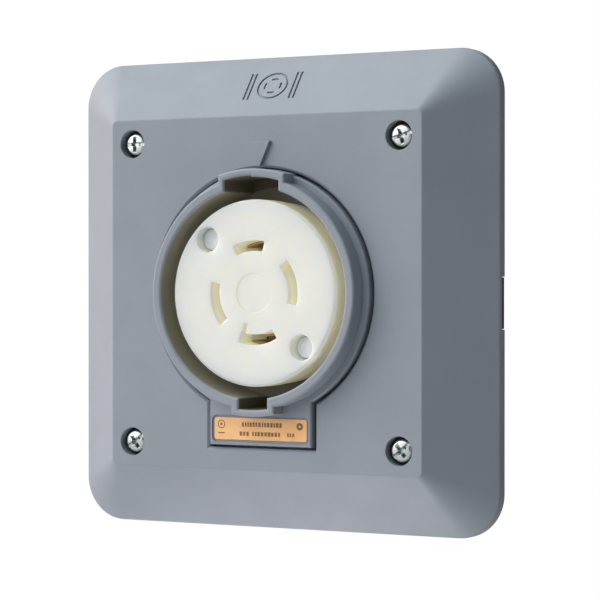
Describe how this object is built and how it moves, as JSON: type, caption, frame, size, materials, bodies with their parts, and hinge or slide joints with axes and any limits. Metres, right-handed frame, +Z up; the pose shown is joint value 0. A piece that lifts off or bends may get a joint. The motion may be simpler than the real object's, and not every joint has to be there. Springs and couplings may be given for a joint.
{
  "type": "locking power receptacle on a bevelled cover plate",
  "caption": "Square bevelled cover plate with a recessed round locking power socket inside a keyed guard collar; screws over an electrical box to take a generator cable connector.",
  "frame": {"origin": "centre of the cover screw pattern, on the plane where the gasket and rim meet the box", "axes": "+Z up, +X to the right seen from the front, and the front faces -Y; +Y goes into the box"},
  "size_m": [0.1492, 0.0485, 0.1492],
  "materials": {
    "grey_thermoplastic": "fine matt moulded",
    "white_nylon": "satin moulded",
    "dark_housing": "matt moulded",
    "black_foam": "closed-cell foam",
    "black_rubber": "smooth moulded",
    "zinc_steel": "zinc plated",
    "grey_washer": "smooth moulded",
    "contact_brass": "stamped and dull",
    "screw_brass": "turned",
    "screw_nickel": "nickel plated",
    "screw_green": "green dyed",
    "orange_label": "printed film"
  },
  "bodies": {
    "receptacle": {"cover_plate": "grey_thermoplastic", "cover_gasket": "black_foam", "shroud_collar": "grey_thermoplastic", "shroud_seal": "black_rubber", "shroud_screws": "zinc_steel", "rating_label": "orange_label", "receptacle_face": "white_nylon", "socket_seal": "black_rubber", "contact_carrier": "white_nylon", "receptacle_body": "dark_housing", "assembly_posts": "zinc_steel", "assembly_screws": "zinc_steel", "contact_x": "contact_brass", "contact_neutral": "contact_brass", "contact_y": "contact_brass", "contact_ground": "contact_brass"},
    "washer_top_left": {"sealing_washer_top_left": "grey_washer"},
    "screw_top_left": {"cover_screw_top_left": "zinc_steel"},
    "washer_top_right": {"sealing_washer_top_right": "grey_washer"},
    "screw_top_right": {"cover_screw_top_right": "zinc_steel"},
    "washer_bottom_left": {"sealing_washer_bottom_left": "grey_washer"},
    "screw_bottom_left": {"cover_screw_bottom_left": "zinc_steel"},
    "washer_bottom_right": {"sealing_washer_bottom_right": "grey_washer"},
    "screw_bottom_right": {"cover_screw_bottom_right": "zinc_steel"},
    "clamp_x": {"pressure_plate_x": "contact_brass"},
    "driver_x": {"terminal_screw_x": "screw_brass"},
    "clamp_neutral": {"pressure_plate_neutral": "contact_brass"},
    "driver_neutral": {"terminal_screw_neutral": "screw_nickel"},
    "clamp_y": {"pressure_plate_y": "contact_brass"},
    "driver_y": {"terminal_screw_y": "screw_brass"},
    "clamp_ground": {"pressure_plate_ground": "contact_brass"},
    "driver_ground": {"terminal_screw_ground": "screw_green"}
  },
  "joints": [
    {"name": "cover_screw_top_left_travel", "type": "slide", "parent": "receptacle", "child": "washer_top_left", "axis": [0, -1, 0], "range_m": [0, 0.00794]},
    {"name": "cover_screw_top_left_turn", "type": "hinge", "parent": "washer_top_left", "child": "screw_top_left", "pos_m": [-0.04763, -0.01424, 0.04763], "axis": [0, -1, 0], "range_deg": [0, 3600]},
    {"name": "cover_screw_top_right_travel", "type": "slide", "parent": "receptacle", "child": "washer_top_right", "axis": [0, -1, 0], "range_m": [0, 0.00794]},
    {"name": "cover_screw_top_right_turn", "type": "hinge", "parent": "washer_top_right", "child": "screw_top_right", "pos_m": [0.04763, -0.01424, 0.04763], "axis": [0, -1, 0], "range_deg": [0, 3600]},
    {"name": "cover_screw_bottom_left_travel", "type": "slide", "parent": "receptacle", "child": "washer_bottom_left", "axis": [0, -1, 0], "range_m": [0, 0.00794]},
    {"name": "cover_screw_bottom_left_turn", "type": "hinge", "parent": "washer_bottom_left", "child": "screw_bottom_left", "pos_m": [-0.04763, -0.01424, -0.04763], "axis": [0, -1, 0], "range_deg": [0, 3600]},
    {"name": "cover_screw_bottom_right_travel", "type": "slide", "parent": "receptacle", "child": "washer_bottom_right", "axis": [0, -1, 0], "range_m": [0, 0.00794]},
    {"name": "cover_screw_bottom_right_turn", "type": "hinge", "parent": "washer_bottom_right", "child": "screw_bottom_right", "pos_m": [0.04763, -0.01424, -0.04763], "axis": [0, -1, 0], "range_deg": [0, 3600]},
    {"name": "terminal_x_clamp", "type": "slide", "parent": "receptacle", "child": "clamp_x", "axis": [0.9724, 0, 0.2334], "range_m": [0, 0.00556]},
    {"name": "terminal_x_turn", "type": "hinge", "parent": "receptacle", "child": "driver_x", "pos_m": [0.02115, 0.012, 0.00508], "axis": [-0.9724, 0, -0.2334], "range_deg": [0, 2520]},
    {"name": "terminal_neutral_clamp", "type": "slide", "parent": "receptacle", "child": "clamp_neutral", "axis": [-0.1167, 0, 0.9932], "range_m": [0, 0.00556]},
    {"name": "terminal_neutral_turn", "type": "hinge", "parent": "receptacle", "child": "driver_neutral", "pos_m": [-0.00254, 0.012, 0.0216], "axis": [0.1167, 0, -0.9932], "range_deg": [0, 2520]},
    {"name": "terminal_y_clamp", "type": "slide", "parent": "receptacle", "child": "clamp_y", "axis": [-0.9724, 0, -0.2334], "range_m": [0, 0.00556]},
    {"name": "terminal_y_turn", "type": "hinge", "parent": "receptacle", "child": "driver_y", "pos_m": [-0.02115, 0.012, -0.00508], "axis": [0.9724, 0, 0.2334], "range_deg": [0, 2520]},
    {"name": "terminal_ground_clamp", "type": "slide", "parent": "receptacle", "child": "clamp_ground", "axis": [0.0906, 0, -0.9959], "range_m": [0, 0.00556]},
    {"name": "terminal_ground_turn", "type": "hinge", "parent": "receptacle", "child": "driver_ground", "pos_m": [0.00197, 0.012, -0.02166], "axis": [-0.0906, 0, 0.9959], "range_deg": [0, 2520]}
  ],
  "couplings": [
    {"joint": "cover_screw_top_left_turn", "follows": "cover_screw_top_left_travel", "rad_per_m": 7915.8},
    {"joint": "cover_screw_top_right_turn", "follows": "cover_screw_top_right_travel", "rad_per_m": 7915.8},
    {"joint": "cover_screw_bottom_left_turn", "follows": "cover_screw_bottom_left_travel", "rad_per_m": 7915.8},
    {"joint": "cover_screw_bottom_right_turn", "follows": "cover_screw_bottom_right_travel", "rad_per_m": 7915.8},
    {"joint": "terminal_x_turn", "follows": "terminal_x_clamp", "rad_per_m": 7915.8},
    {"joint": "terminal_neutral_turn", "follows": "terminal_neutral_clamp", "rad_per_m": 7915.8},
    {"joint": "terminal_y_turn", "follows": "terminal_y_clamp", "rad_per_m": 7915.8},
    {"joint": "terminal_ground_turn", "follows": "terminal_ground_clamp", "rad_per_m": 7915.8}
  ]
}
